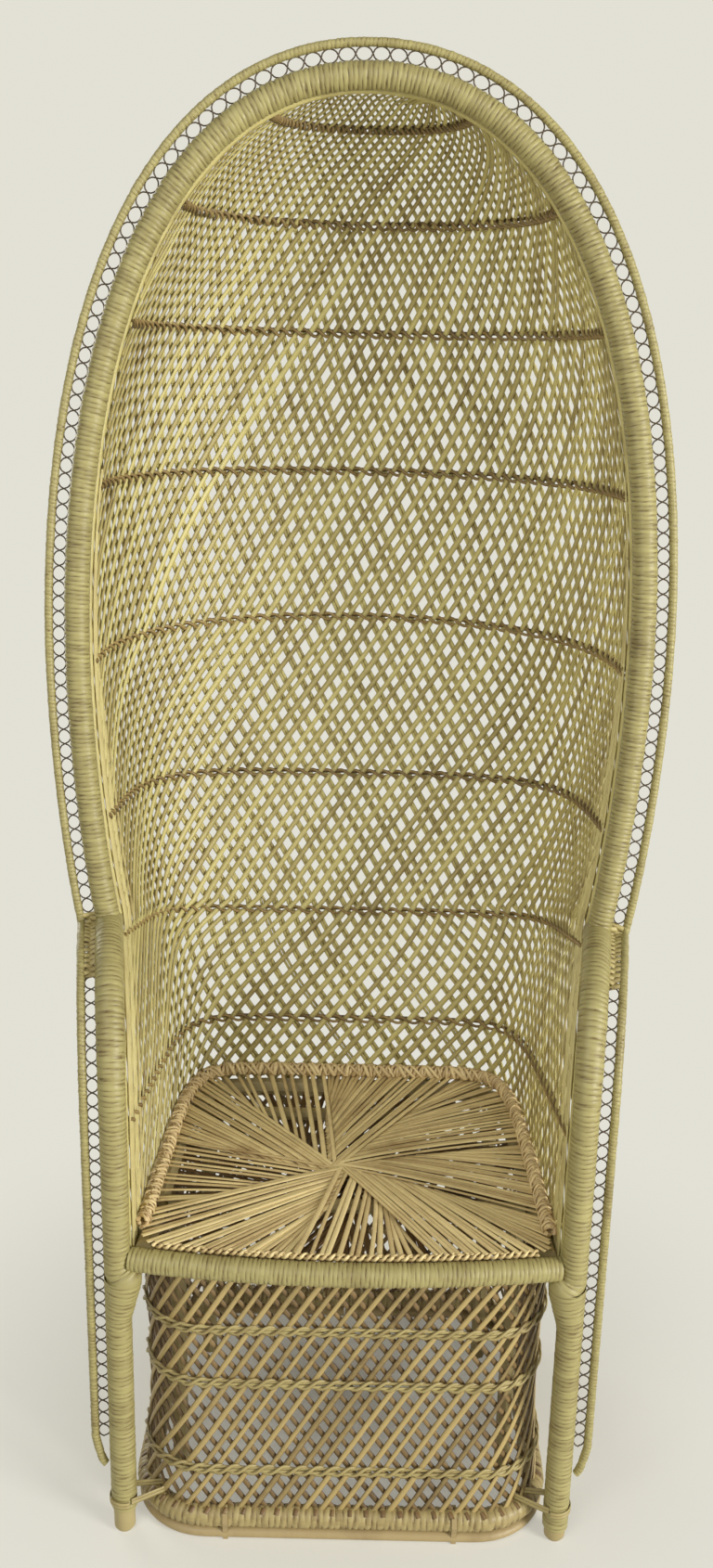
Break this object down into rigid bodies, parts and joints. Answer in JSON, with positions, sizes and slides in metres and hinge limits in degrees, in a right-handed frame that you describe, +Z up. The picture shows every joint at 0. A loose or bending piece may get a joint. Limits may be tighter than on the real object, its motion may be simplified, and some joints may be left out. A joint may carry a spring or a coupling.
{
  "type": "peacock chair",
  "caption": "Hooded wicker peacock chair: cane-bound hoop and arms, ring-lace rims, diagonal lattice back and base, pinwheel cane seat.",
  "frame": {"origin": "on the floor, under the middle of the chair's bounding box", "axes": "+Z up, the seat faces -Y, +X to the right of someone who looks at the front of the chair"},
  "size_m": [0.7264, 0.599, 1.7206],
  "materials": {
    "bare_pole": "bare rattan pole, satin",
    "bound_cane": "pale straw cane binding, satin",
    "round_reed": "honey round reed, satin",
    "dark_lace": "dark thin cane, matt",
    "flat_cane": "flat split cane, matt",
    "dowel_wood": "plain wood",
    "nail_steel": "plain wire nail"
  },
  "bodies": {
    "root": {"right_front_post": "bare_pole", "left_front_post": "bare_pole", "hoop_pole": "bare_pole", "seat_front_rail": "bare_pole", "right_rail_corbel": "bare_pole", "left_rail_corbel": "bare_pole", "seat_frame": "bare_pole", "seat_bar_front": "bare_pole", "seat_bar_rear": "bare_pole", "base_ring_pole": "bare_pole", "base_runner": "bare_pole", "right_front_upright": "bare_pole", "left_front_upright": "bare_pole", "right_rear_upright": "bare_pole", "left_rear_upright": "bare_pole", "right_post_binding": "bound_cane", "left_post_binding": "bound_cane", "hoop_binding": "bound_cane", "hoop_rim": "bound_cane", "right_arm_rim": "bound_cane", "left_arm_rim": "bound_cane", "seat_rail_binding": "bound_cane", "base_ring_binding": "bound_cane", "back_lattice": "round_reed", "base_lattice": "round_reed", "back_band_1": "round_reed", "back_band_2": "round_reed", "back_band_3": "round_reed", "back_band_4": "round_reed", "back_band_5": "round_reed", "back_band_6": "round_reed", "back_band_7": "round_reed", "back_band_8": "round_reed", "base_band_1": "round_reed", "base_band_2": "round_reed", "base_band_3": "round_reed", "hoop_lace": "dark_lace", "right_arm_lace": "dark_lace", "left_arm_lace": "dark_lace", "right_arm_cuff": "flat_cane", "left_arm_cuff": "flat_cane", "seat_weave": "flat_cane", "seat_border": "flat_cane", "runner_tie_1": "flat_cane", "runner_tie_2": "flat_cane", "runner_tie_3": "flat_cane", "runner_tie_4": "flat_cane", "runner_tie_5": "flat_cane", "runner_tie_6": "flat_cane", "right_hoop_dowel": "dowel_wood", "left_hoop_dowel": "dowel_wood", "right_rail_nail": "nail_steel", "left_rail_nail": "nail_steel"}
  },
  "joints": []
}
